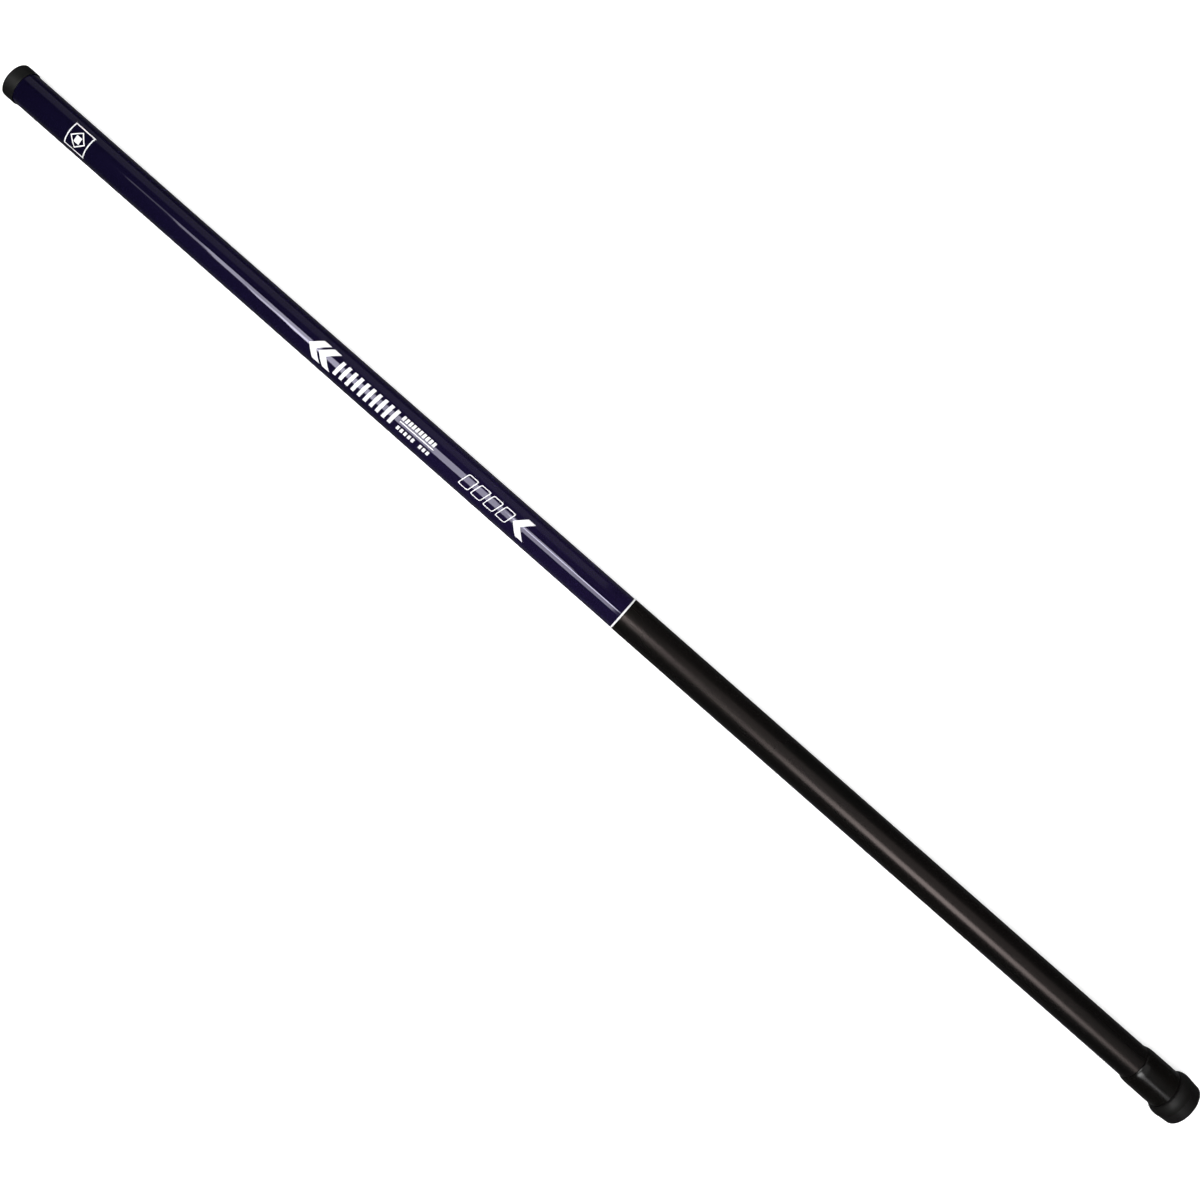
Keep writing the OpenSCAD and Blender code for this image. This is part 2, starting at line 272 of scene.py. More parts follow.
class Graph:
    """The node tree of one material."""

    def __init__(self, name: str) -> None:
        """Starts a material with a Principled shader."""
        self.material = bpy.data.materials.new(name)
        self.material.use_nodes = True
        self.tree = self.material.node_tree
        self.tree.nodes.clear()
        self.shader = self.node("ShaderNodeBsdfPrincipled")
        self.node("ShaderNodeOutputMaterial", values={0: self.shader.outputs[0]})
        self._place: Optional[bpy.types.NodeSocket] = None

    def node(self, kind: str, settings: Optional[dict[str, Any]] = None,
             values: Optional[dict[Union[int, str], Any]] = None) -> bpy.types.Node:
        """Adds a node.

        Args:
            kind: the node's type.
            settings: its own properties, set first.
            values: what each input socket holds or is linked to.

        Returns:
            The node.
        """
        made = self.tree.nodes.new(kind)
        for key, setting in (settings or {}).items():
            setattr(made, key, setting)
        for key, value in (values or {}).items():
            self.put(made.inputs[key], value)
        return made

    def put(self, socket: bpy.types.NodeSocket, value: Any) -> None:
        """Fills an input.

        Args:
            socket: the input.
            value: a value or socket, which is linked, or a plain number or colour, which is set.
        """
        if isinstance(value, Value):
            value = value.socket
        if isinstance(value, bpy.types.NodeSocket):
            self.tree.links.new(value, socket)
        else:
            socket.default_value = value

    @property
    def place(self) -> bpy.types.NodeSocket:
        """Object coordinates, which are metres in the frame."""
        if self._place is None:
            self._place = self.node("ShaderNodeTexCoord").outputs["Object"]
        return self._place

    def axes(self) -> tuple[Value, Value, Value]:
        """The x, y and z of the place on the surface."""
        split = self.node("ShaderNodeSeparateXYZ", values={0: self.place})
        return tuple(Value(self, socket) for socket in split.outputs)

    def noise(self, scale: float, detail: float = 2.0, stretch: tuple[float, float, float] = (1, 1, 1)
              ) -> Value:
        """Smooth noise from 0 to 1.

        Args:
            scale: features per metre.
            detail: octaves.
            stretch: factor on each axis before the noise is read.

        Returns:
            The noise.
        """
        scaled = self.node("ShaderNodeVectorMath", {"operation": "MULTIPLY"}, {0: self.place, 1: stretch})
        made = self.node("ShaderNodeTexNoise",
                         values={"Vector": scaled.outputs[0], "Scale": scale, "Detail": detail})
        return Value(self, made.outputs[0])

    def mix(self, share: Operand, first: Sequence[float], second: Any) -> bpy.types.NodeSocket:
        """Blends two colours.

        Args:
            share: 0 for the first, 1 for the second.
            first: a colour.
            second: a colour or a socket that gives one.

        Returns:
            The blend's socket.
        """
        made = self.node("ShaderNodeMix", {"data_type": "RGBA"}, {0: share})
        self.put(made.inputs[6], colour(first))
        self.put(made.inputs[7], second if isinstance(second, bpy.types.NodeSocket) else colour(second))
        return made.outputs[2]

    def bump(self, height: Value, depth: float, strength: float = 1.0) -> None:
        """Raises the surface's relief by a height from 0 to 1, depth metres deep."""
        made = self.node("ShaderNodeBump", values={"Strength": strength, "Distance": depth, "Height": height})
        self.put(self.shader.inputs["Normal"], made.outputs[0])

    def surface(self, **values: Any) -> None:
        """Sets the Principled shader's sockets, named with underscores for spaces."""
        for key, value in values.items():
            self.put(self.shader.inputs[key.replace("_", " ")], value)


def colour(rgb: Sequence[float]) -> tuple[float, float, float, float]:
    """A linear colour with full alpha."""
    return (rgb[0], rgb[1], rgb[2], 1.0)


# ---------------------------------------------------------------- finishes

class Slot(Enum):
    """The record's material slots."""

    LACQUERED_BLANK = "lacquered_blank"
    GRIP_COAT = "grip_coat"
    WHITE_TRIM = "white_trim"
    COLLAR_PLASTIC = "collar_plastic"
    BUSH_PLASTIC = "bush_plastic"
    CAP_PLASTIC = "cap_plastic"
    PAD_RUBBER = "pad_rubber"
    SEAL_RUBBER = "seal_rubber"
    TIP_CAP_RUBBER = "tip_cap_rubber"
    FOAM = "foam"
    SECTION_COMPOSITE = "section_composite"
    GROUND_WRAP = "ground_wrap"
    WINDING_THREAD = "winding_thread"
    CONNECTOR_PLASTIC = "connector_plastic"
    SLEEVE_STEEL = "sleeve_steel"


Rgb = tuple[float, float, float]


@dataclass(frozen=True)
class Lacquer:
    """Deep violet gloss lacquer over the wound blank.

    Args:
        near: colour beside the grip.
        far: colour beside the tip, darker than the near one as painted shade of the light's falloff toward
            the tip.
        start: place along X, in metres, where the near colour ends.
        end: place along X where the far colour begins.
    """

    near: Rgb = (0.0085, 0.0054, 0.027)
    far: Rgb = (0.0035, 0.0025, 0.014)
    start: float = 0.60
    end: float = 1.10

    def material(self) -> bpy.types.Material:
        """Colour darkens along the blank toward the tip as painted shade, faintly cloudy, under a coat with a
        slight orange peel.
        """
        g = Graph("lacquer")
        x, _, _ = g.axes()
        # painted shade: the blank's colour darkens toward the tip, where the light falls off
        tip_painted_shade = x.ramp(self.start, self.end)
        cloud = g.noise(34, 3, (0.35, 1, 1)).ramp(0.35, 0.65)
        base = g.mix(tip_painted_shade, self.near, self.far)
        deeper = g.mix(cloud * 0.22, (0.0, 0.0, 0.0), base)
        blend = g.node("ShaderNodeMix", {"data_type": "RGBA"}, {0: 0.82 + cloud * 0.18, 6: deeper, 7: base})
        peel = g.noise(420, 1.5, (0.5, 1, 1)) * 0.75 + g.noise(1500, 1) * 0.25
        scuffs = g.noise(120, 4, (0.08, 1, 1)).ramp(0.60, 0.75)
        g.surface(Base_Color=blend.outputs[2], Roughness=0.06 + scuffs * 0.06, IOR=1.5,
                  Specular_Tint=colour((0.75, 0.70, 1.0)), Coat_Weight=0.5, Coat_Roughness=0.03)
        g.bump(peel, 0.000012)
        return g.material


@dataclass(frozen=True)
class GripCoat:
    """Matt black anti-slip coat with a fine even grain.

    Args:
        tone: its grey.
        tint: colour of its sheen.
    """

    tone: float = 0.0024
    tint: Rgb = (1.0, 0.84, 0.80)

    def material(self) -> bpy.types.Material:
        """A fine pebble grain, with palms' polish in slow patches."""
        g = Graph("grip_coat")
        grain = g.noise(2600, 2) * 0.6 + g.noise(5200, 1) * 0.4
        worn = g.noise(22, 3, (0.3, 1, 1)).ramp(0.42, 0.66)
        base = g.mix(worn, (self.tone,) * 3, (self.tone * 1.5, self.tone * 1.35, self.tone * 1.3))
        g.surface(Base_Color=base, Roughness=0.285 - worn * 0.03, Specular_Tint=colour(self.tint))
        g.bump(grain, 0.000012, 0.8)
        return g.material


@dataclass(frozen=True)
class WhiteInk:
    """White trim and screen-printed ink under the clear coat."""

    tone: float = 0.86

    def material(self) -> bpy.types.Material:
        """Slightly uneven cover, as printed ink has."""
        g = Graph("white_ink")
        cover = g.noise(900, 3).ramp(0.3, 0.7)
        base = g.mix(cover, (self.tone * 0.93,) * 3, (self.tone,) * 3)
        g.surface(Base_Color=base, Roughness=0.30 + cover * 0.06, Coat_Weight=0.4, Coat_Roughness=0.08)
        g.bump(cover, 0.000008)
        return g.material


@dataclass(frozen=True)
class MouldedPlastic:
    """Moulded plastic with spark-eroded grain.

    Args:
        name: the material's name.
        tone: its colour.
        roughness: how matt it is.
        grain: depth of the grain, in metres.
        gloss: how strongly it mirrors, where 0.5 is plain plastic.
    """

    name: str
    tone: Rgb
    roughness: float
    grain: float = 0.000003
    gloss: float = 0.5

    def material(self) -> bpy.types.Material:
        """Fine grain, faint flow marks and slightly paler handled patches."""
        g = Graph(self.name)
        grain = g.noise(3200, 2)
        flow = g.noise(60, 4, (1, 0.4, 0.4)).ramp(0.4, 0.68)
        base = g.mix(flow, self.tone, tuple(c * 1.5 + 0.0003 for c in self.tone))
        g.surface(Base_Color=base, Roughness=self.roughness - flow * 0.05, Specular_IOR_Level=self.gloss)
        g.bump(grain, self.grain)
        return g.material


@dataclass(frozen=True)
class Rubber:
    """Matt moulded rubber with a dusty bloom.

    Args:
        name: the material's name.
        tone: its colour.
        roughness: how matt it is.
    """

    name: str
    tone: Rgb = (0.006, 0.006, 0.006)
    roughness: float = 0.6

    def material(self) -> bpy.types.Material:
        """Fine pores with pale bloom in slow clouds."""
        g = Graph(self.name)
        pores = g.noise(2300, 3)
        bloom = g.noise(90, 4).ramp(0.45, 0.7)
        base = g.mix(bloom, self.tone, tuple(c * 1.5 + 0.0004 for c in self.tone))
        g.surface(Base_Color=base, Roughness=self.roughness + bloom * 0.08)
        g.bump(pores, 0.000008, 0.8)
        return g.material


@dataclass(frozen=True)
class Foam:
    """Closed-cell foam."""

    tone: Rgb = (0.05, 0.05, 0.052)

    def material(self) -> bpy.types.Material:
        """Round cells a third of a millimetre across, with painted shade darkening the dip of each cell."""
        g = Graph("foam")
        pores = g.node("ShaderNodeTexVoronoi", values={"Vector": g.place, "Scale": 2800.0})
        cells = Value(g, pores.outputs[0])
        cell_depth_and_shade = cells.ramp(0.1, 0.6)
        # painted shade: the colour darkens in each cell's dip; the same mask sets the dip's depth in the bump
        g.surface(Base_Color=g.mix(cell_depth_and_shade, tuple(c * 0.5 for c in self.tone), self.tone), Roughness=0.93)
        g.bump(cell_depth_and_shade, 0.00012)
        return g.material


@dataclass(frozen=True)
class Composite:
    """Wound fibre composite with the spiral that its shrink tape leaves.

    Args:
        name: the material's name.
        pitch: width of the tape's turns, in metres.
        tone: colour of the resin.
    """

    name: str
    pitch: float = 0.0035
    tone: Rgb = (0.010, 0.010, 0.012)

    def material(self) -> bpy.types.Material:
        """A ripple runs round the tube as a helix: sin(turns along X less the turn round X)."""
        g = Graph(self.name)
        x, y, z = g.axes()
        turn = y.angle_from(z)
        ripple = (x * (2 * math.pi / self.pitch) + turn).sine() * 0.5 + 0.5
        tow = (x * (math.pi / self.pitch) - turn * 6.0).sine().absolute()
        fibre = g.noise(1400, 3, (0.12, 1, 1))
        shade = ripple * 0.35 + fibre * 0.5 + tow * 0.15
        base = g.mix(shade, self.tone, tuple(c * 2.6 for c in self.tone))
        g.surface(Base_Color=base, Roughness=0.24 + fibre * 0.10, Coat_Weight=0.35, Coat_Roughness=0.12)
        g.bump(ripple * 0.8 + fibre * 0.2, 0.00003)
        return g.material


@dataclass(frozen=True)
class GroundWrap:
    """Composite wrap ground to a matt, finely ringed surface."""

    tone: Rgb = (0.030, 0.030, 0.033)

    def material(self) -> bpy.types.Material:
        """Grinding rings run round the tube, so the noise is stretched round it and tight along X."""
        g = Graph("ground_wrap")
        rings = g.noise(300, 3, (30, 0.4, 0.4))
        dust = g.noise(160, 3).ramp(0.4, 0.7)
        base = g.mix(rings * 0.6 + dust * 0.4, self.tone, tuple(c * 2.2 for c in self.tone))
        g.surface(Base_Color=base, Roughness=0.50 + rings * 0.14)
        g.bump(rings, 0.00002)
        return g.material


@dataclass(frozen=True)
class WindingThread:
    """Thread laid side by side and sealed in epoxy."""

    tone: Rgb = (0.012, 0.009, 0.055)

    def material(self) -> bpy.types.Material:
        """Fine slanted twist on each turn of thread under a clear coat."""
        g = Graph("winding_thread")
        x, y, z = g.axes()
        turn = y.angle_from(z)
        twist = (x * 5200.0 + turn * 160.0).sine() * 0.5 + 0.5
        base = g.mix(twist, self.tone, tuple(c * 2.2 for c in self.tone))
        g.surface(Base_Color=base, Roughness=0.35 + twist * 0.1, Coat_Weight=0.6, Coat_Roughness=0.1)
        g.bump(twist, 0.00001)
        return g.material


@dataclass(frozen=True)
class Steel:
    """Turned stainless steel."""

    tone: Rgb = (0.58, 0.58, 0.60)

    def material(self) -> bpy.types.Material:
        """Lathe rings round the sleeve with light scratches."""
        g = Graph("turned_steel")
        rings = g.noise(500, 3, (25, 0.3, 0.3))
        base = g.mix(rings, tuple(c * 0.82 for c in self.tone), self.tone)
        g.surface(Base_Color=base, Metallic=1.0, Roughness=0.20 + rings * 0.14)
        g.bump(rings, 0.000008)
        return g.material


class Finishes:
    """The material of each slot, made once."""

    def __init__(self) -> None:
        """Makes every material."""
        self.of: dict[Slot, bpy.types.Material] = {
            Slot.LACQUERED_BLANK: Lacquer().material(),
            Slot.GRIP_COAT: GripCoat().material(),
            Slot.WHITE_TRIM: WhiteInk().material(),
            Slot.COLLAR_PLASTIC: MouldedPlastic("collar_plastic", (0.0024, 0.0021, 0.0019), 0.23).material(),
            Slot.BUSH_PLASTIC: MouldedPlastic("bush_plastic", (0.012, 0.012, 0.013), 0.42).material(),
            Slot.CAP_PLASTIC: MouldedPlastic("cap_plastic", (0.0034, 0.0031, 0.0029), 0.52,
                                             gloss=0.33).material(),
            Slot.PAD_RUBBER: Rubber("pad_rubber", (0.0030, 0.0026, 0.0026), 0.45).material(),
            Slot.SEAL_RUBBER: Rubber("seal_rubber", (0.004, 0.004, 0.004), 0.42).material(),
            Slot.TIP_CAP_RUBBER: Rubber("tip_cap_rubber", (0.0022, 0.0022, 0.0022), 0.5).material(),
            Slot.FOAM: Foam().material(),
            Slot.SECTION_COMPOSITE: Composite("section_composite").material(),
            Slot.GROUND_WRAP: GroundWrap().material(),
            Slot.WINDING_THREAD: WindingThread().material(),
            Slot.CONNECTOR_PLASTIC: MouldedPlastic("connector_plastic", (0.010, 0.010, 0.010),
                                                   0.35).material(),
            Slot.SLEEVE_STEEL: Steel().material(),
        }
        self.raw_bore = Composite("raw_bore", 0.012, (0.006, 0.006, 0.007)).material()


# ---------------------------------------------------------------- common work on pieces

@dataclass(frozen=True)
class Extent:
    """Where a CAD node starts and ends along X, and its radius, in millimetres."""

    rear: float
    front: float
    radius: float

    @classmethod
    def of(cls, node: str) -> "Extent":
        """Reads the node's box."""
        low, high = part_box(node)
        return cls(low[0] / MM, high[0] / MM, high[1] / MM)


@dataclass
class Assembly:
    """What every sub-assembly shares.

    Args:
        finishes: the materials.
    """

    finishes: Finishes

    def place(self, piece: bpy.types.Object, body: str, slot: Slot, *nodes: str, bore: float = 0.0
              ) -> bpy.types.Object:
        """Dresses a piece, puts it on its body and lets it stand for CAD nodes.

        Args:
            piece: the new object.
            body: the CAD body that it rides on.
            slot: its finish.
            nodes: the CAD nodes that it replaces.
            bore: faces nearer the axis than this, in millimetres, are raw inside; 0 for none.

        Returns:
            The same piece.
        """
        piece.data.materials.append(self.finishes.of[slot])
        if bore:
            self._line_bore(piece, bore)
        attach(piece, body)
        if nodes:
            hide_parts(*nodes)
        log.info("%s rides on %s in %s with %d faces", piece.name, body, slot.value, len(piece.data.polygons))
        return piece

    def _line_bore(self, piece: bpy.types.Object, bore: float) -> None:
        """Gives the faces inside a radius the raw material."""
        mesh = piece.data
        mesh.materials.append(self.finishes.raw_bore)
        centres = np.empty(len(mesh.polygons) * 3, np.float32)
        mesh.polygons.foreach_get("center", centres)
        centres = centres.reshape(-1, 3)
        inside = np.hypot(centres[:, 1], centres[:, 2]) < bore * MM
        mesh.polygons.foreach_set("material_index", inside.astype(np.int32))


def thread_rule(pitch: float, ripple: Callable[[np.ndarray], np.ndarray]) -> RadiusRule:
    """Radius rule of a round right-hand thread.

    The radius is the mean radius plus the ripple's height at x times sin(turns along X less the turn
    round X).

    Args:
        pitch: millimetres per turn.
        ripple: gives the thread's half height for an array of x.

    Returns:
        The rule.
    """
    def rule(x: np.ndarray, r: np.ndarray, angle: np.ndarray) -> np.ndarray:
        """Adds the helix to the mean radius."""
        return r + ripple(x) * np.sin(2 * np.pi * x / pitch - angle)
    return rule


def ridges(rear: float, front: float, rear_r: float, front_r: float, pitch: float, height: float) -> Outline:
    """Round turns of thread side by side along a straight line.

    The radius is the line's plus height times sqrt(1 - u^2), where u runs from -1 to 1 over a turn.

    Args:
        rear: x of the first turn's rear.
        front: x of the last turn's front.
        rear_r: the line's radius at the rear.
        front_r: the line's radius at the front.
        pitch: width of a turn.
        height: how far a turn stands out of the line.

    Returns:
        Points from the rear to the front.
    """
    count = max(1, round((front - rear) / pitch))
    u = np.tile(np.linspace(-0.92, 0.92, 5), count)
    turn = np.repeat(np.arange(count), 5)
    share = (turn + 0.5 + u / 2) / count
    return np.stack([rear + share * (front - rear),
                     rear_r + share * (front_r - rear_r) + height * np.sqrt(1 - u * u)], axis=1)


# ---------------------------------------------------------------- handle

@dataclass
class Handle(Assembly):
    """Lacquered blank with its grip, trim ring, butt collar, threaded bush and mouth winding.

    Sizes are in millimetres.
    """

    bore: float = 12.5
    mouth_bore: float = 11.72
    bore_run: float = 160.0
    bore_taper: float = 0.0012
    mouth_run: float = 158.0
    mouth_radius: float = 13.25
    blank_radius: float = 14.11
    collar_bore: float = 14.63
    collar_lead: float = 6.0
    collar_lip: float = 0.3
    bush_mean: float = 12.975
    thread_pitch: float = 2.0
    thread_height: float = 0.4
    winding_height: float = 0.05

    def radius_at(self, x: np.ndarray) -> np.ndarray:
        """Outer radius of the blank at places along X in millimetres."""
        blank, ring = Extent.of("handle_blank"), Extent.of("trim_ring")
        return np.interp(x, [ring.front, blank.front - self.mouth_run],
                         [self.blank_radius, self.mouth_radius])

    def build(self) -> None:
        """Builds and dresses the whole handle."""
        self.blank()
        self.grip()
        self.ring()
        self.collar()
        self.bush()
        self.winding()

    def blank(self) -> None:
        """Parallel under the grip, tapered in front of it and parallel again to the mouth."""
        span, ring = Extent.of("handle_blank"), Extent.of("trim_ring")
        inner = self.mouth_bore + self.bore_taper * self.bore_run
        corners = outline(
            (span.rear, self.bore), (span.rear, self.blank_radius), (ring.front, self.blank_radius),
            (span.front - self.mouth_run, self.mouth_radius), (span.front, self.mouth_radius),
            (span.front, self.mouth_bore), (span.front - self.bore_run, inner), (ring.front, self.bore))
        points = resampled(rounded(corners, [0.2, 0.2, 0, 0, 0.3, 0.3, 0, 0]), 12)
        self.place(turned("blank", points), "handle", Slot.LACQUERED_BLANK, "handle_blank",
                   bore=self.bore + 0.25)

    def grip(self) -> None:
        """Thin sleeve over the rear half."""
        span = Extent.of("grip_sleeve")
        corners = outline((span.rear, self.blank_radius), (span.rear, span.radius), (span.front, span.radius),
                          (span.front, self.blank_radius))
        points = resampled(rounded(corners, [0, 0.1, 0.08, 0]), 12)
        self.place(turned("grip", points), "handle", Slot.GRIP_COAT, "grip_sleeve")

    def ring(self) -> None:
        """White band, flush with the sleeve."""
        span = Extent.of("trim_ring")
        corners = outline((span.rear, self.blank_radius), (span.rear, span.radius), (span.front, span.radius),
                          (span.front, self.blank_radius))
        points = resampled(rounded(corners, [0, 0.03, 0.12, 0]), 1)
        self.place(turned("ring", points), "handle", Slot.WHITE_TRIM, "trim_ring")

    def collar(self) -> None:
        """Ferrule with a broken rear edge and an elliptic front.

        In the front, r = lip + rise cos t and x = start + lead sin t.
        """
        span, bush, grip = Extent.of("butt_collar"), Extent.of("collar_bush"), Extent.of("grip_sleeve")
        t = np.linspace(0, np.pi / 2, 15)[1:-1]
        lip = grip.radius + self.collar_lip
        lead = np.stack([span.front - self.collar_lead + self.collar_lead * np.sin(t),
                         lip + (span.radius - lip) * np.cos(t)], axis=1)
        corners = np.vstack([
            outline((span.rear, self.collar_bore), (span.rear, span.radius),
                    (span.front - self.collar_lead, span.radius)),
            lead,
            outline((span.front, lip), (span.front, self.blank_radius), (bush.front, self.blank_radius),
                    (bush.front, self.collar_bore))])
        radii = [0.1, 0.4, 0] + [0] * len(lead) + [0.12, 0, 0, 0]
        points = resampled(rounded(corners, radii), 3)
        self.place(turned("collar", points), "handle", Slot.COLLAR_PLASTIC, "butt_collar")

    def bush(self) -> None:
        """Tube whose bore carries the female thread."""
        span = Extent.of("collar_bush")
        x = np.linspace(span.front, span.rear, 116)
        bore = np.stack([x, np.full_like(x, self.bush_mean)], axis=1)
        points = np.vstack([outline((span.rear, self.collar_bore), (span.front, self.collar_bore)), bore])

        def height(place: np.ndarray) -> np.ndarray:
            """Thread everywhere in the bore, none on the outside."""
            return np.full_like(place, self.thread_height)
        rule = thread_rule(self.thread_pitch, height)

        def bore_only(place: np.ndarray, r: np.ndarray, angle: np.ndarray) -> np.ndarray:
            """Applies the thread to the bore's rings alone."""
            return np.where(r < self.collar_bore - 0.5, rule(place, r, angle), r)
        self.place(turned("bush", points, bore_only), "handle", Slot.BUSH_PLASTIC, "collar_bush")

    def winding(self) -> None:
        """Thread wound round the mouth under the tip cap."""
        span = Extent.of("mouth_winding")
        top = span.radius - self.winding_height
        points = np.vstack([outline((span.rear, self.mouth_radius)),
                            ridges(span.rear, span.front, top, top, 0.4, self.winding_height),
                            outline((span.front, self.mouth_radius))])
        self.place(turned("mouth_thread", points), "handle", Slot.WINDING_THREAD, "mouth_winding")


# ---------------------------------------------------------------- printed marks

@dataclass
class Marks(Assembly):
    """White printed marks on the front half of the blank.

    Each mark is a closed thin shell that follows the blank. A flat point (s, q) in millimetres lands at
    x = origin + s and at the angle round X that the arc q takes at the blank's radius there.

    Args:
        handle: the handle that carries the marks.
        proud: height of the ink's top over the blank.
        sunk: depth of the ink's foot in the blank.
        single_chevron: distance of the single chevron's apex from the trim ring's middle.
        double_chevrons: the same for the two chevrons side by side.
        slabs_start: distance of the first outlined slab's middle, with slab_step between slabs.
        slab_half: half length and half width of a slab.
        slab_line: width of its line.
        bars_start: distance of the first bold bar, with bar_pair between pairs and bar_step in a pair.
        dashes_start: distance of the small rows.
        square_setback: distance of the square mark's middle from the tip cap's face.
        square_turn: angle of its middle from straight up, in degrees.
    """

    handle: Handle
    proud: float = 0.035
    sunk: float = 0.05
    single_chevron: float = 107.0
    double_chevrons: tuple[float, float] = (308.8, 299.1)
    slabs_start: float = 150.9
    slab_step: float = 12.2
    slab_half: tuple[float, float] = (4.9, 5.7)
    slab_line: float = 0.75
    bars_start: float = 280.6
    bar_pair: float = 12.05
    bar_step: float = 5.9
    dashes_start: float = 219.0
    square_setback: float = 71.0
    square_turn: float = 14.0

    def shell(self, first: np.ndarray, second: np.ndarray, origin: float, middle: float, across: int = 1,
              closed: bool = False) -> tuple[np.ndarray, np.ndarray]:
        """Surface between two flat edges, lofted straight from the one to the other.

        Args:
            first: (n, 2) flat points along one edge.
            second: (n, 2) flat points along the other edge.
            origin: x of the flat pattern's zero, in millimetres.
            middle: angle of its zero from straight up toward +Y, in degrees.
            across: steps between the edges.
            closed: whether the edges are loops.

        Returns:
            Points in metres and quads.
        """
        share = np.linspace(0, 1, across + 1)[:, None, None]
        flat = first[None] * (1 - share) + second[None] * share
        x = origin + flat[..., 0]
        radius = self.handle.radius_at(x)
        angle = math.radians(middle) + flat[..., 1] / radius
        levels = np.array([self.proud, -self.sunk])[:, None, None]
        r = radius[None] + levels
        spot = np.stack([np.broadcast_to(x, r.shape), r * np.sin(angle), r * np.cos(angle)], axis=-1) * MM
        rows, cols = across + 1, len(first)
        ids = np.arange(2 * rows * cols).reshape(2, rows, cols)
        if closed:
            ids = np.concatenate([ids, ids[:, :, :1]], axis=2)
        top, foot = ids[0], ids[1]

        def weave(grid: np.ndarray) -> np.ndarray:
            """Quads of a grid of indices."""
            corners = [grid[:-1, :-1], grid[:-1, 1:], grid[1:, 1:], grid[1:, :-1]]
            return np.stack(corners, axis=-1).reshape(-1, 4)

        faces = [weave(top), weave(foot)[:, ::-1], weave(np.stack([foot[0], top[0]])),
                 weave(np.stack([top[-1], foot[-1]]))]
        if not closed:
            faces += [weave(np.stack([top[:, 0], foot[:, 0]])), weave(np.stack([foot[:, -1], top[:, -1]]))]
        quads = np.vstack(faces)
        return spot.reshape(-1, 3), self.outward(spot.reshape(-1, 3), quads, len(weave(top)))

    @staticmethod
    def outward(points: np.ndarray, quads: np.ndarray, top_count: int) -> np.ndarray:
        """Turns a shell's faces over if its top faces inward.

        Args:
            points: the shell's points.
            quads: its faces, the top's first.
            top_count: number of faces in the top.

        Returns:
            The faces, turned over or not.
        """
        a, b, c = (points[quads[:top_count, k]] for k in range(3))
        normal = np.cross(b - a, c - a)
        away = (normal[:, 1:] * a[:, 1:]).sum()
        return quads if away > 0 else quads[:, ::-1]

    def mark(self, name: str, shells: Iterable[tuple[np.ndarray, np.ndarray]]) -> None:
        """Joins shells into one piece on the handle.

        Args:
            name: the piece's name.
            shells: points and quads of each shell.
        """
        points, quads, count = [], [], 0
        for spots, faces in shells:
            points.append(spots)
            quads.append(faces + count)
            count += len(spots)
        self.place(make_object(name, np.vstack(points), np.vstack(quads)), "handle", Slot.WHITE_TRIM)

    def arrow(self, apex: float) -> tuple[np.ndarray, np.ndarray]:
        """Chevron toward the tip: x falls straight from the apex to both ends, whose cuts run along X.

        Args:
            apex: x of its foremost point.

        Returns:
            Points and quads.
        """
        low, high, point, middle = -36.0, 35.5, 0.0, 9.9
        degrees = np.unique(np.append(np.linspace(low, high, 41), point))
        arc = np.radians(degrees) * float(self.handle.radius_at(apex))
        front = np.interp(degrees, [low, point, high], [-8.2, 0.0, -8.2])
        rear = np.interp(degrees, [low, point, high], [-15.4, -7.0, -15.4])
        return self.shell(np.stack([front, arc], 1), np.stack([rear, arc], 1), apex, middle, 4)

    def bar(self, origin: float, width: float, low: float, high: float, slant: float
            ) -> tuple[np.ndarray, np.ndarray]:
        """Slanted bar round the blank.

        Args:
            origin: x of its front edge's middle.
            width: its width along X.
            low: angle of one end from straight up, in degrees.
            high: angle of the other end.
            slant: millimetres that it leans along X from the one end to the other.

        Returns:
            Points and quads.
        """
        radius = float(self.handle.radius_at(origin))
        middle = (low + high) / 2
        arc = np.radians(np.linspace(low - middle, high - middle, max(4, round((high - low) / 2)))) * radius
        lean = np.linspace(-slant / 2, slant / 2, len(arc))
        return self.shell(np.stack([lean, arc], 1), np.stack([lean - width, arc], 1), origin, middle, 3)

    def loop(self, origin: float, middle: float, size: tuple[float, float], line: float, power: float,
             slant: float = 0.0) -> tuple[np.ndarray, np.ndarray]:
        """Outline of a rounded shape: |s / a|^n + |q / b|^n = 1, with a line of even width inside it.

        Args:
            origin: x of its centre.
            middle: angle of its centre in degrees.
            size: half length along X and half width round it.
            line: the line's width.
            power: n, 2 for an ellipse and large for a box.
            slant: how far s leans for each millimetre of q.

        Returns:
            Points and quads.
        """
        t = np.linspace(0, 2 * np.pi, 120, endpoint=False)
        c, s = np.cos(t), np.sin(t)
        bend = (np.abs(c) ** power + np.abs(s) ** power) ** (-1 / power)
        edges = []
        for inset in (0.0, line):
            q = (size[1] - inset) * s * bend
            edges.append(np.stack([(size[0] - inset) * c * bend + slant * q, q], axis=1))
        return self.shell(edges[0], edges[1], origin, middle, 3, closed=True)

    def frame(self, origin: float, middle: float, corners: np.ndarray, line: float
              ) -> tuple[np.ndarray, np.ndarray]:
        """Outline of a four-cornered shape that is even about its centre.

        Args:
            origin: x of its centre.
            middle: angle of its centre in degrees.
            corners: its corners in turn, as x and arc from the centre.
            line: the line's width, measured inward.

        Returns:
            Points and quads.
        """
        reach = np.linalg.norm(corners[0] + corners[1]) / 2
        steps = np.linspace(0, 1, 16, endpoint=False)[:, None]
        sides = np.vstack([corners[k] * (1 - steps) + corners[(k + 1) % 4] * steps for k in range(4)])
        return self.shell(sides, sides * (1 - line / reach), origin, middle, 3, closed=True)

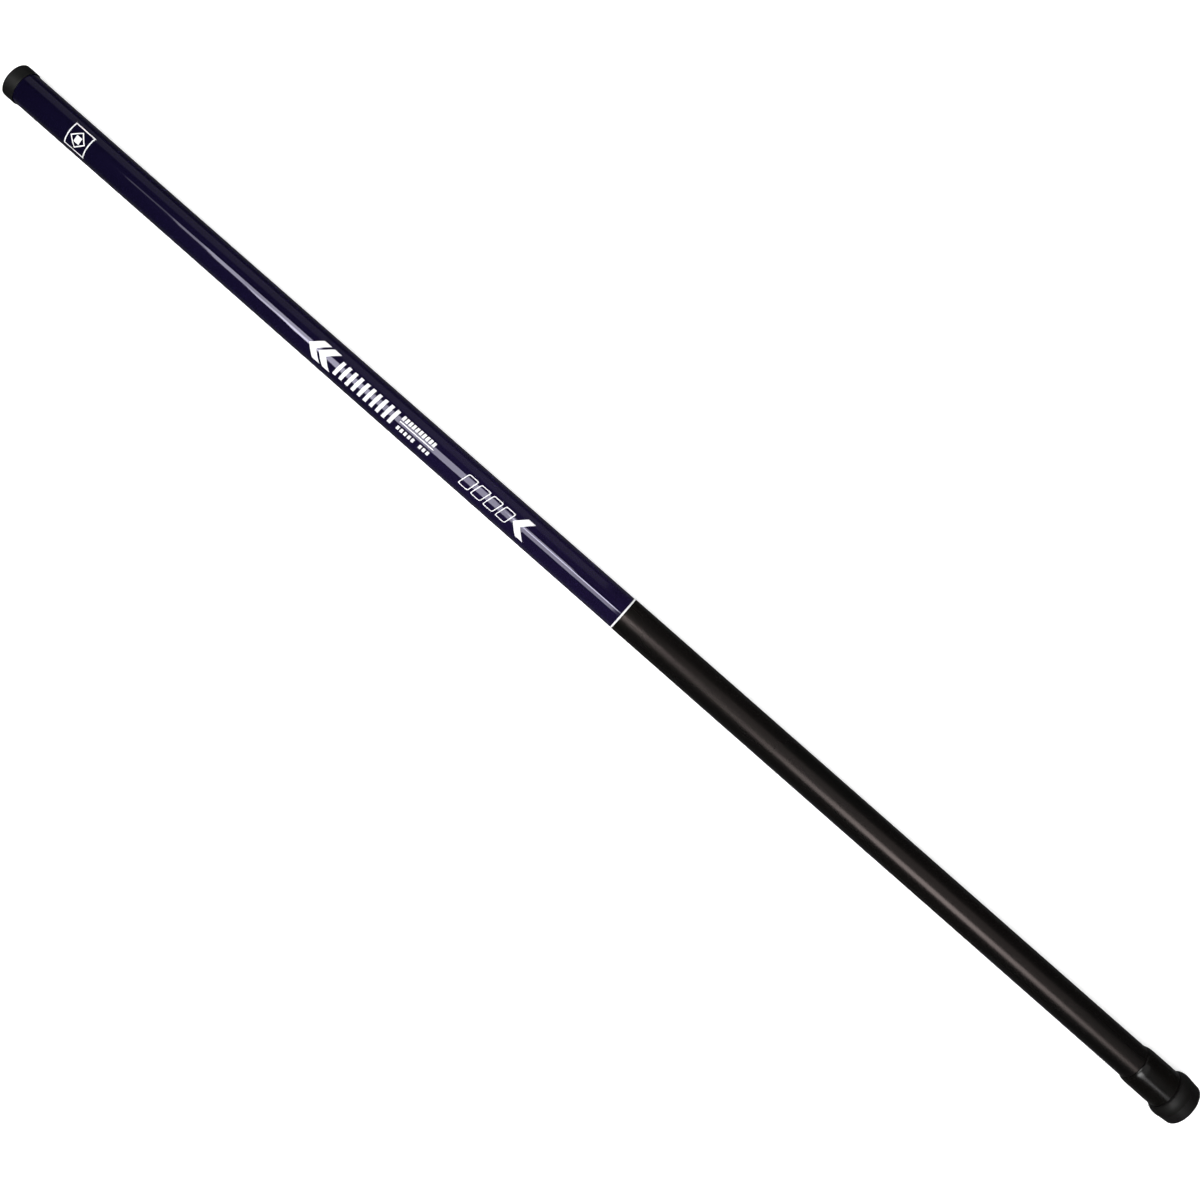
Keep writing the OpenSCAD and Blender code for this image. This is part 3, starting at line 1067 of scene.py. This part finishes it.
    def build(self) -> None:
        """Prints all the marks, from the grip to the tip."""
        zero = (Extent.of("trim_ring").rear + Extent.of("trim_ring").front) / 2
        self.mark("chevron_single", [self.arrow(zero + self.single_chevron)])
        self.mark("chevrons_double", [self.arrow(zero + apex) for apex in self.double_chevrons])
        self.mark("outlined_slabs", [
            self.loop(zero + self.slabs_start - self.slab_step * k, 12.0, self.slab_half, self.slab_line,
                      9.0, 0.30) for k in range(4)])
        self.mark("bold_bars", [
            self.bar(zero + self.bars_start - self.bar_pair * k - self.bar_step * j, 3.0, -14.5, 38.9, 1.6)
            for k in range(5) for j in range(2)])
        start, dash = zero + self.dashes_start, 2.3
        upper = [self.bar(start - 3.3 * k, dash, -14.0, 1.5, 0.5) for k in range(10)]
        rule = [self.bar(start, 33.0, 7.5, 10.5, 0.0)]
        lower = [self.bar(start - 0.4 - 3.65 * k, dash, 23.0, 37.0, 0.5) for k in range(9) if k != 5]
        self.mark("small_rows", upper + rule + lower)
        self.square_mark()

    def square_mark(self) -> None:
        """Square frame with a diamond and a small block inside, near the tip."""
        middle_x = Extent.of("tip_cap_shell").front - self.square_setback
        turn = self.square_turn
        box = np.array([[9.5, 9.7], [-9.5, 9.7], [-9.5, -9.7], [9.5, -9.7]])
        diamond = np.array([[7.0, 0.0], [0.0, 7.2], [-7.0, 0.0], [0.0, -7.2]])
        block = np.radians(np.linspace(-12, 12, 13)) * self.handle.mouth_radius
        front, rear = np.full(len(block), 2.4), np.full(len(block), -2.4)
        solid = self.shell(np.stack([front, block], 1), np.stack([rear, block], 1), middle_x, turn, 3)
        frames = [self.frame(middle_x, turn, box, 1.0), self.frame(middle_x, turn, diamond, 0.9)]
        self.mark("square_mark", frames + [solid])


# ---------------------------------------------------------------- butt cap

@dataclass
class ButtCap(Assembly):
    """Screw-on butt cap: end pad, hard ring, threaded plug, foam cushion and O-ring.

    Sizes are in millimetres.
    """

    root: float = 12.425
    thread_height: float = 0.4
    thread_pitch: float = 2.0
    bore: float = 10.325
    floor_depth: float = 3.4
    chamfer: float = 0.5
    shoulder: float = 5.6
    neck: float = 16.23
    back_drop: float = 0.5
    pad_draft: float = 0.9
    pad_round: float = 1.8
    cushion_proud: float = 0.8
    thread_rear: float = 20.6
    thread_front: float = 30.0

    def build(self) -> None:
        """Builds and dresses the whole cap."""
        self.pad()
        self.ring()
        self.plug()
        self.cushion()
        self.seal()

    def pad(self) -> None:
        """Rubber pad with drafted side, round edge and a flat face."""
        span = Extent.of("end_pad")
        seam = Extent.of("cap_ring").radius - self.back_drop
        corners = outline((span.rear, 0), (span.rear, seam - self.pad_draft),
                          (span.front, seam), (span.front, 0))
        points = resampled(rounded(corners, [0, self.pad_round, 0.12, 0], 10), 2)
        self.place(turned("end_pad_rubber", points), "butt_cap", Slot.PAD_RUBBER, "end_pad")

    def ring(self) -> None:
        """Hard ring: r = R - drop u^2 behind its widest place, neck + bulge cos t over its shoulder."""
        span = Extent.of("cap_ring")
        crown = span.front - self.shoulder
        u = np.linspace(1, 0, 9)
        back = np.stack([crown - (crown - span.rear) * u, span.radius - self.back_drop * u ** 2], axis=1)
        t = np.linspace(0, np.pi / 2, 19)[1:-1]
        curve = np.stack([crown + self.shoulder * np.sin(t),
                          self.neck + (span.radius - self.neck) * np.cos(t)], axis=1)
        corners = np.vstack([outline((span.rear, self.root)), back, curve,
                             outline((span.front, self.neck), (span.front, self.root))])
        radii = [0, 0.15] + [0] * (len(back) + len(curve) - 1) + [0.12, 0]
        self.place(turned("cap_ring_shell", resampled(rounded(corners, radii), 2)), "butt_cap",
                   Slot.CAP_PLASTIC, "cap_ring")

    def fade(self, x: np.ndarray) -> np.ndarray:
        """Thread's share of its full height: rises and falls over one pitch at its ends."""
        return np.clip(np.minimum(x - self.thread_rear, self.thread_front - x) / self.thread_pitch, 0, 1)

    def plug(self) -> None:
        """Cup with a male thread: the mean radius is the root plus the faded half height."""
        span = Extent.of("cap_plug")
        x = np.linspace(self.thread_rear, self.thread_front, 95)
        wall = np.stack([x, self.root + self.thread_height * self.fade(x)], axis=1)
        points = np.vstack([
            outline((span.rear, 0), (span.rear, self.root)), wall,
            outline((span.front, self.root - self.chamfer), (span.front, self.bore),
                    (span.rear + self.floor_depth, self.bore), (span.rear + self.floor_depth, 0))])

        def height(place: np.ndarray) -> np.ndarray:
            """Faded half height of the thread."""
            return self.thread_height * self.fade(place)
        rule = thread_rule(self.thread_pitch, height)

        def outside_only(place: np.ndarray, r: np.ndarray, angle: np.ndarray) -> np.ndarray:
            """Applies the thread to the outside rings alone."""
            return np.where(r > self.root - self.chamfer / 2, rule(place, r, angle), r)
        self.place(turned("plug", points, outside_only), "butt_cap", Slot.CAP_PLASTIC, "cap_plug")

    def cushion(self) -> None:
        """Foam disc with a crowned front: x = front less the crown times (r / R)^4."""
        span = Extent.of("cushion_disc")
        shares = np.linspace(1, 0, 12)[:-1]
        crown = np.stack([span.front - self.cushion_proud * shares ** 4, span.radius * shares], axis=1)
        points = np.vstack([outline((span.rear, 0), (span.rear, span.radius)), crown,
                            outline((span.front, 0))])
        points = resampled(points, 2)
        self.place(turned("cushion_foam", points, sides=96), "butt_cap", Slot.FOAM, "cushion_disc")

    def seal(self) -> None:
        """Torus: a circle of the cord's radius turned about X."""
        span = Extent.of("o_ring")
        cord = (span.front - span.rear) / 2
        t = np.linspace(0, 2 * np.pi, 24, endpoint=False)
        points = np.stack([(span.rear + span.front) / 2 - cord * np.cos(t),
                           span.radius - cord + cord * np.sin(t)], axis=1)
        self.place(turned("seal", points), "cap_seal", Slot.SEAL_RUBBER, "o_ring")


# ---------------------------------------------------------------- tip cap

@dataclass
class TipCap(Assembly):
    """Push-on rubber cap with a foam liner. Sizes are in millimetres."""

    bore: float = 13.46
    end_wall: float = 2.2
    edge: float = 1.2
    lead: float = 0.5
    lead_rise: float = 0.15

    def build(self) -> None:
        """Builds and dresses the cap and its liner."""
        shell = Extent.of("tip_cap_shell")
        inner = shell.front - self.end_wall
        corners = outline((inner, 0), (inner, self.bore), (shell.rear + self.lead, self.bore),
                          (shell.rear, self.bore + self.lead_rise), (shell.rear, shell.radius),
                          (shell.front, shell.radius), (shell.front, 0))
        points = resampled(rounded(corners, [0, 0, 0.2, 0.1, 0.15, self.edge, 0], 8), 1.5)
        self.place(turned("tip_cap_rubber_shell", points), "tip_cap", Slot.TIP_CAP_RUBBER, "tip_cap_shell")
        liner = Extent.of("tip_cap_liner")
        corners = outline((liner.rear, 0), (liner.rear, liner.radius),
                          (liner.front, liner.radius), (liner.front, 0))
        points = resampled(rounded(corners, [0, 0.3, 0.1, 0]), 2)
        self.place(turned("tip_cap_foam", points, sides=96), "tip_cap", Slot.FOAM, "tip_cap_liner")


# ---------------------------------------------------------------- inner sections

@dataclass
class InnerSection(Assembly):
    """One telescopic section: blank, ground base wrap and, except on the top one, a mouth winding.

    Sizes are in millimetres.

    Args:
        body: the CAD body.
        blank: its blank's node.
        wrap: its base wrap's node.
        winding: its winding's node, or None.
        ground: outer radius of the base wrap at its rear and front.
        mouth: outer and inner radius at the mouth.
        base_bore: radius of the bore at the base.
        wrap_wall: wall of the base wrap.
        thread_pitch: width of a turn of the winding.
        thread_height: how far a turn stands out of the winding's line.
        thread_slope: length of the slope behind the turns.
        thread_step: length of the step in front of them.
        step_drop: how far the step lies below the turns' line.
        sides: points round the axis.
    """

    body: str
    blank: str
    wrap: str
    winding: Optional[str]
    ground: tuple[float, float]
    mouth: tuple[float, float]
    base_bore: float
    wrap_wall: float = 0.3
    thread_pitch: float = 0.5
    thread_height: float = 0.06
    thread_slope: float = 1.0
    thread_step: float = 0.4
    step_drop: float = 0.04
    sides: int = 96

    def build(self) -> None:
        """Builds and dresses the section."""
        self.tube()
        self.base()
        if self.winding:
            self.thread()

    def radius_at(self, x: float) -> float:
        """Outer radius of the blank in front of its wrap."""
        blank, wrap = Extent.of(self.blank), Extent.of(self.wrap)
        return float(np.interp(x, [wrap.front, blank.front],
                               [self.ground[1] - self.wrap_wall, self.mouth[0]]))

    def tube(self) -> None:
        """Blank, rebated under its wrap and tapering straight to the mouth."""
        blank, wrap = Extent.of(self.blank), Extent.of(self.wrap)
        corners = outline(
            (blank.rear, self.base_bore), (blank.rear, self.ground[0] - self.wrap_wall),
            (wrap.front, self.ground[1] - self.wrap_wall), (blank.front, self.mouth[0]),
            (blank.front, self.mouth[1]))
        edge = min(0.25, (self.mouth[0] - self.mouth[1]) / 4)
        points = resampled(rounded(corners, [0.15, 0.1, 0, edge, edge / 2]), 14)
        bore = (self.mouth[0] + self.mouth[1]) / 2
        self.place(turned(self.blank + "_tube", points, sides=self.sides), self.body, Slot.SECTION_COMPOSITE,
                   self.blank, bore=bore)

    def base(self) -> None:
        """Ground wrap with softened ends."""
        wrap = Extent.of(self.wrap)
        corners = outline(
            (wrap.rear, self.ground[0] - self.wrap_wall), (wrap.rear, self.ground[0]),
            (wrap.front, self.ground[1]), (wrap.front, self.ground[1] - self.wrap_wall))
        points = resampled(rounded(corners, [0, 0.12, 0.15, 0]), 10)
        self.place(turned(self.wrap + "_ground", points, sides=self.sides), self.body, Slot.GROUND_WRAP,
                   self.wrap)

    def thread(self) -> None:
        """Turns of thread between a slope behind them and a low step in front."""
        span = Extent.of(self.winding)
        top = span.radius - self.thread_height
        lines = ridges(span.rear + self.thread_slope, span.front - self.thread_step, top, top,
                       self.thread_pitch, self.thread_height)
        points = np.vstack([outline((span.rear, self.radius_at(span.rear))), lines,
                            outline((span.front, top - self.step_drop), (span.front, self.mouth[0]))])
        self.place(turned(self.winding + "_thread", points, sides=self.sides), self.body, Slot.WINDING_THREAD,
                   self.winding)


# ---------------------------------------------------------------- line connector

@dataclass
class LineConnector(Assembly):
    """Socket, notched stem and bulb for the line's loop, with the sleeve that locks it.

    Sizes are in millimetres, and places are distances from the connector's rear end.
    """

    tip_radius: float = 1.2
    socket_bore: float = 1.235
    socket: float = 14.0
    stem_radius: float = 1.3
    stem_start: float = 16.0
    stem_end: float = 29.9
    bulb_start: float = 30.5
    bulb_end: float = 31.9
    notch: tuple[float, float] = (25.0, 27.0)
    notch_floor: float = 0.02
    sleeve_edge: float = 0.3
    sleeve_roll: float = 0.15
    sleeve_bore: float = 1.35
    groove_run: float = 3.6
    groove_pitch: float = 1.2
    groove_depth: float = 0.07

    def build(self) -> None:
        """Builds and dresses the connector and its sleeve."""
        span = Extent.of("line_connector")
        at = span.rear
        notch_rear, notch_front = at + self.notch[0], at + self.notch[1]
        corners = outline(
            (at + self.socket, 0), (at + self.socket, self.tip_radius),
            (at, self.socket_bore), (at, span.radius),
            (at + self.stem_start, span.radius), (at + self.stem_start, self.stem_radius),
            (at + self.stem_end, self.stem_radius), (at + self.bulb_start, span.radius),
            (at + self.bulb_end, span.radius), (span.front, span.radius - 0.8), (span.front, 0))
        points = rounded(corners, [0, 0, 0, 0.25, 0.2, 0.1, 0, 0.2, 0.3, 0.4, 0])
        points = resampled(points, 1)
        points = self.with_notch(points, notch_rear, notch_front)

        def cut(x: np.ndarray, r: np.ndarray, angle: np.ndarray) -> np.ndarray:
            """In the notch a point goes no higher than the floor: r = floor / sin a where that is less."""
            rise = np.maximum(np.sin(angle), 1e-6)
            inside = (x > notch_rear) & (x < notch_front) & (r > self.stem_radius - 0.05)
            return np.where(inside, np.minimum(r, np.where(np.sin(angle) > 0, self.notch_floor / rise, r)), r)
        self.place(turned("connector", points, cut, 64), "tip_section", Slot.CONNECTOR_PLASTIC,
                   "line_connector")
        self.sleeve()

    def with_notch(self, points: Outline, rear: float, front: float) -> Outline:
        """Adds two stations at each wall of the notch on the stem, and one in its middle.

        Args:
            points: the connector's outline.
            rear: x of the notch's rear wall.
            front: x of its front wall.

        Returns:
            The outline with the stations.
        """
        x, gap = points[:, 0], 0.001
        stem = np.abs(points[:, 1] - self.stem_radius) < 1e-6
        place = int(np.flatnonzero(stem & (x < rear))[-1]) + 1
        points = points[~(stem & (x > rear) & (x < front))]
        walls = np.array([rear - gap, rear + gap, (rear + front) / 2, front - gap, front + gap])
        stations = np.stack([walls, np.full(len(walls), self.stem_radius)], 1)
        return np.vstack([points[:place], stations, points[place:]])

    def sleeve(self) -> None:
        """Thin steel tube with rolled ends and three shallow grip grooves."""
        span = Extent.of("connector_sleeve")
        start = (span.rear + span.front) / 2 - self.groove_run / 2
        x = np.linspace(start, start + self.groove_run, 49)
        turns = (x - start) / self.groove_pitch
        depth = self.groove_depth * (0.5 - 0.5 * np.cos(turns * 2 * np.pi))
        grooves = np.stack([x, span.radius - depth], axis=1)
        edge, roll = self.sleeve_edge, self.sleeve_roll
        corners = np.vstack([
            outline((span.rear, self.sleeve_bore), (span.rear, span.radius - roll),
                    (span.rear + edge, span.radius)),
            grooves,
            outline((span.front - edge, span.radius), (span.front, span.radius - roll),
                    (span.front, self.sleeve_bore))])
        radii = [0.05, roll, roll] + [0] * len(grooves) + [roll, roll, 0.05]
        points = resampled(rounded(corners, radii, 3), 1)
        self.place(turned("lock_sleeve", points, sides=64), "connector_lock", Slot.SLEEVE_STEEL,
                   "connector_sleeve")


# ---------------------------------------------------------------- studio

@dataclass
class Studio:
    """Camera, pale floor and soft lights.

    Args:
        foot: x of the point under the camera.
        side: y of that point.
        height: the camera's height over the pole's axis.
        lens: focal length in millimetres.
        turn: the camera's turn about the vertical, in degrees.
        floor_half: half the floor's side.
        floor_tone: the floor's colour.
        floor_glow: the floor's own brightness.
        bowl_foot: radius at which the backdrop starts to rise.
        bowl_bend: radius of its curve.
        bowl_top: its height.
        bowl_sides: points round it.
        bowl_drop: how far it lies under the floor.
        room_levels: straight-down share and horizon share of the world, and its brightness at each.
    """

    foot: float = 0.581
    side: float = 0.0039
    height: float = 1.064
    lens: float = 42.37
    turn: float = -138.7
    floor_half: float = 30.0
    floor_tone: Rgb = (0.93, 0.93, 0.93)
    floor_glow: float = 0.55
    bowl_foot: float = 22.0
    bowl_bend: float = 8.0
    bowl_top: float = 22.0
    bowl_sides: int = 96
    bowl_drop: float = 0.002
    room_levels: tuple[float, float, float, float] = (-0.75, -0.2, 0.10, 0.015)

    def camera(self) -> None:
        """A slightly wide lens that looks straight down."""
        data = bpy.data.cameras.new("camera")
        data.lens, data.sensor_width = self.lens, 36
        made = bpy.data.objects.new("camera", data)
        made.location = (self.foot, self.side, self.height)
        made.rotation_euler = (0, 0, math.radians(self.turn))
        bpy.context.scene.collection.objects.link(made)
        bpy.context.scene.camera = made
        bpy.context.scene.view_settings.view_transform = "Standard"
        log.info("camera looks straight down from %.3f m", self.height)

    def floor(self) -> None:
        """Wide floor under the lowest point of the pole."""
        low = float(CAD_BOX[0][2])
        h = self.floor_half
        points = np.array([[-h, -h, low], [h, -h, low], [h, h, low], [-h, h, low]])
        piece = make_object("floor", points, np.array([[0, 1, 2, 3]]))
        g = Graph("floor_paper")
        tooth = g.noise(300, 3)
        g.surface(Base_Color=g.mix(tooth * 0.5, self.floor_tone, tuple(c * 0.985 for c in self.floor_tone)),
                  Roughness=0.9, Specular_IOR_Level=0.2)
        g.surface(Emission_Color=colour((1, 1, 1)), Emission_Strength=self.floor_glow)
        piece.data.materials.append(g.material)
        piece.visible_glossy = False
        self.backdrop(low, g.material)

    def backdrop(self, low: float, paper: bpy.types.Material) -> None:
        """Bowl round the floor: flat, then a quarter circle, then a wall.

        On the quarter circle, r = foot + bend sin t and z = bend (1 - cos t).

        Args:
            low: height of the floor.
            paper: the floor's material.
        """
        foot, bend, sides = self.bowl_foot, self.bowl_bend, self.bowl_sides
        t = np.linspace(0, math.pi / 2, 25)
        r = np.concatenate([[foot - 1.0], foot + bend * np.sin(t), [foot + bend]])
        z = np.concatenate([[0.0], bend * (1 - np.cos(t)), [self.bowl_top]]) + low - self.bowl_drop
        angle = np.linspace(0, 2 * math.pi, sides, endpoint=False)
        points = np.stack([(r[:, None] * np.cos(angle)).ravel(), (r[:, None] * np.sin(angle)).ravel(),
                           (z[:, None] + 0 * angle).ravel()], axis=1)
        piece = make_object("backdrop", points, ring_quads(len(r), sides, False)[:, ::-1])
        piece.data.materials.append(paper)
        piece.visible_glossy = piece.visible_diffuse = piece.visible_shadow = False

    def area(self, name: str, place: tuple[float, float, float], size: tuple[float, float], radiance: float,
             target: Optional[tuple[float, float, float]] = None, tint: Rgb = (1, 1, 1)) -> bpy.types.Object:
        """Adds a soft box of a given brightness.

        Args:
            name: its name.
            place: its centre.
            size: its length and width.
            radiance: its brightness, where a white floor in full light is 1.
            target: the point that it faces, or None for straight down.
            tint: its colour.

        Returns:
            The light's object.
        """
        data = bpy.data.lights.new(name, "AREA")
        data.shape, data.size, data.size_y = "RECTANGLE", size[0], size[1]
        data.energy = radiance * math.pi * size[0] * size[1]
        data.color = tint
        made = bpy.data.objects.new(name, data)
        made.location = place
        if target is not None:
            made.rotation_euler = (Vector(target) - Vector(place)).to_track_quat("-Z", "Y").to_euler()
        made.visible_camera = False
        bpy.context.scene.collection.objects.link(made)
        return made

    def lights(self) -> None:
        """Row of soft boxes beside the camera, each with its own brightness, and a weak fill opposite.

        Each row holds a box's x and y, its length and width, and its brightness.
        """
        row = [
            (1.480, 0.02, 0.09, 0.15, 1.0), (1.405, 0.10, 0.06, 0.26, 3.2), (1.340, 0.16, 0.07, 0.42, 6.0),
            (1.275, 0.11, 0.06, 0.34, 5.0), (1.275, 0.39, 0.06, 0.22, 10.0),
            (1.205, 0.12, 0.08, 0.34, 6.0), (1.205, 0.45, 0.08, 0.32, 14.0), (1.105, 0.34, 0.12, 0.74, 7.0),
            (0.920, 0.31, 0.25, 0.78, 5.2), (0.720, 0.33, 0.15, 0.74, 4.4), (0.603, 0.38, 0.09, 0.56, 4.0),
            (0.470, 0.42, 0.15, 0.50, 0.12), (0.340, 0.45, 0.11, 0.52, 0.35), (0.240, 0.50, 0.09, 0.54, 1.2),
            (0.140, 0.55, 0.11, 0.58, 3.0), (0.030, 0.58, 0.11, 0.62, 5.2), (-0.095, 0.58, 0.14, 0.62, 6.2),
            (-0.220, 0.58, 0.11, 0.62, 6.0), (-0.320, 0.60, 0.09, 0.62, 3.8), (-0.405, 0.60, 0.08, 0.62, 2.0),
            (-0.475, 0.60, 0.06, 0.60, 1.6), (-0.540, 0.62, 0.07, 0.34, 4.2),
        ]
        for k, (x, y, length, width, radiance) in enumerate(row):
            self.area(f"key_{k}", (x, y, self.height), (length, width), radiance)
        self.area("key_edge", (0.66, 0.17, self.height - 0.02), (0.22, 0.09), 11.0)
        self.area("ceiling", (-0.02, -0.36, self.height), (0.90, 0.97), 0.45)
        self.area("fill", (1.95, -2.4, 1.2), (2.7, 2.2), 0.19, (1.95, 0, 0))
        overhead = self.area("overhead", (self.foot, 0.0, 2.2), (3.2, 3.2), 1.2)
        overhead.visible_glossy = False
        self.surroundings()

    def surroundings(self) -> None:
        """Dark room above the horizon and dim light from below it, brighter toward straight down."""
        world = bpy.data.worlds.new("room")
        world.use_nodes = True
        tree = world.node_tree
        place = tree.nodes.new("ShaderNodeTexCoord")
        split = tree.nodes.new("ShaderNodeSeparateXYZ")
        level = tree.nodes.new("ShaderNodeMapRange")
        tree.links.new(place.outputs["Object"], split.inputs[0])
        tree.links.new(split.outputs[2], level.inputs[0])
        for socket, value in zip(list(level.inputs)[1:5], self.room_levels):
            socket.default_value = value
        tree.links.new(level.outputs[0], tree.nodes["Background"].inputs[1])
        tree.nodes["Background"].inputs[0].default_value = (1, 1, 1, 1)
        bpy.context.scene.world = world


# ---------------------------------------------------------------- the whole pole

def main() -> None:
    """Builds the studio and every sub-assembly in order."""
    logging.basicConfig(level=logging.INFO, format="%(message)s")
    studio = Studio()
    studio.camera()
    finishes = Finishes()
    handle = Handle(finishes)
    handle.build()
    Marks(finishes, handle).build()
    ButtCap(finishes).build()
    sections = [
        InnerSection(finishes, "section_2", "section_2_blank", "section_2_base_wrap", "section_2_winding",
                     (11.802, 11.67), (9.599, 8.599), 10.452),
        InnerSection(finishes, "section_3", "section_3_blank", "section_3_base_wrap", "section_3_winding",
                     (8.734, 8.549), (6.896, 5.996), 7.604),
        InnerSection(finishes, "section_4", "section_4_blank", "section_4_base_wrap", "section_4_winding",
                     (6.108, 5.946), (4.497, 3.697), 5.098),
        InnerSection(finishes, "tip_section", "tip_blank", "tip_base_wrap", None,
                     (3.790, 3.647), (1.2, 0.5), 2.6, sides=64),
    ]
    for section in sections:
        section.build()
    LineConnector(finishes).build()
    TipCap(finishes).build()
    studio.floor()
    studio.lights()


if __name__ == "__main__":
    main()
